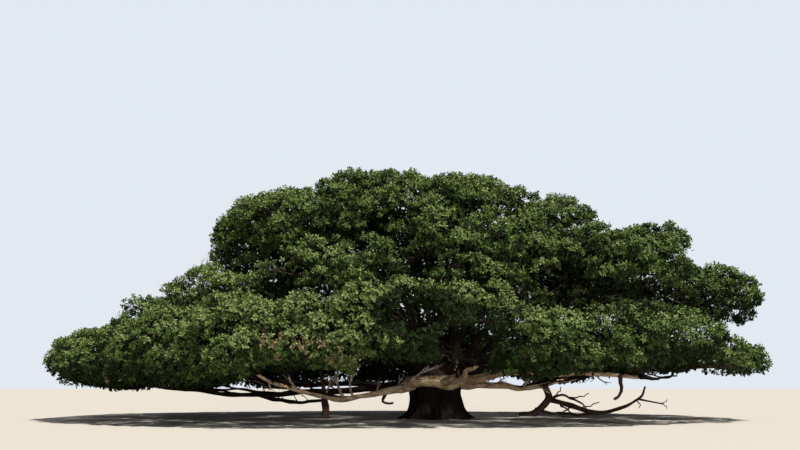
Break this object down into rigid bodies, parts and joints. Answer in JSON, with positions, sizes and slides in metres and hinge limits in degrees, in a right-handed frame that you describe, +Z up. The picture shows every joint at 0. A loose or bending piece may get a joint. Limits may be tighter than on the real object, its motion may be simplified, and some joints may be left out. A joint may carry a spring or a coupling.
{
  "type": "sycamore fig tree",
  "caption": "Whole old sycamore fig: short fluted trunk with root flare, long low boughs and a very wide, low, dense crown, rooted at its flat ground cut",
  "frame": {"origin": "the middle of the flat cut under the trunk, at ground level", "axes": "+Z up, +X along the crown's long side to the right as the picture shows it, -Y towards the picture's camera"},
  "size_m": [39.1164, 26.8391, 13.9623],
  "materials": {
    "bark": "rough grey-brown bark, pale cream where the sun falls on the boughs",
    "foliage": "dense dark green leaves with a soft sheen, lighter on top"
  },
  "bodies": {
    "root": {"trunk": "bark", "skirt_bough_1": "bark", "skirt_bough_2": "bark", "skirt_bough_3": "bark", "skirt_bough_4": "bark", "skirt_bough_5": "bark", "skirt_bough_6": "bark", "skirt_bough_7": "bark", "shoulder_bough_1": "bark", "shoulder_bough_2": "bark", "shoulder_bough_3": "bark", "shoulder_bough_4": "bark", "shoulder_bough_5": "bark", "upper_bough_1": "bark", "upper_bough_2": "bark", "upper_bough_3": "bark", "upper_bough_4": "bark", "top_bough_1": "bark", "top_bough_2": "bark", "wing_bough_1": "bark", "left_prop_stem": "bark", "right_ground_limb": "bark", "skirt_foliage_1": "foliage", "skirt_foliage_2": "foliage", "skirt_foliage_3": "foliage", "skirt_foliage_4": "foliage", "skirt_foliage_5": "foliage", "skirt_foliage_6": "foliage", "skirt_foliage_7": "foliage", "skirt_foliage_8": "foliage", "skirt_foliage_9": "foliage", "skirt_foliage_10": "foliage", "skirt_foliage_11": "foliage", "skirt_foliage_12": "foliage", "skirt_foliage_13": "foliage", "skirt_foliage_14": "foliage", "shoulder_foliage_1": "foliage", "shoulder_foliage_2": "foliage", "shoulder_foliage_3": "foliage", "shoulder_foliage_4": "foliage", "shoulder_foliage_5": "foliage", "shoulder_foliage_6": "foliage", "shoulder_foliage_7": "foliage", "shoulder_foliage_8": "foliage", "shoulder_foliage_9": "foliage", "shoulder_foliage_10": "foliage", "upper_foliage_1": "foliage", "upper_foliage_2": "foliage", "upper_foliage_3": "foliage", "upper_foliage_4": "foliage", "upper_foliage_5": "foliage", "upper_foliage_6": "foliage", "upper_foliage_7": "foliage", "upper_foliage_8": "foliage", "top_foliage_1": "foliage", "top_foliage_2": "foliage", "top_foliage_3": "foliage", "top_foliage_4": "foliage", "wing_foliage_1": "foliage", "wing_foliage_2": "foliage"}
  },
  "joints": []
}
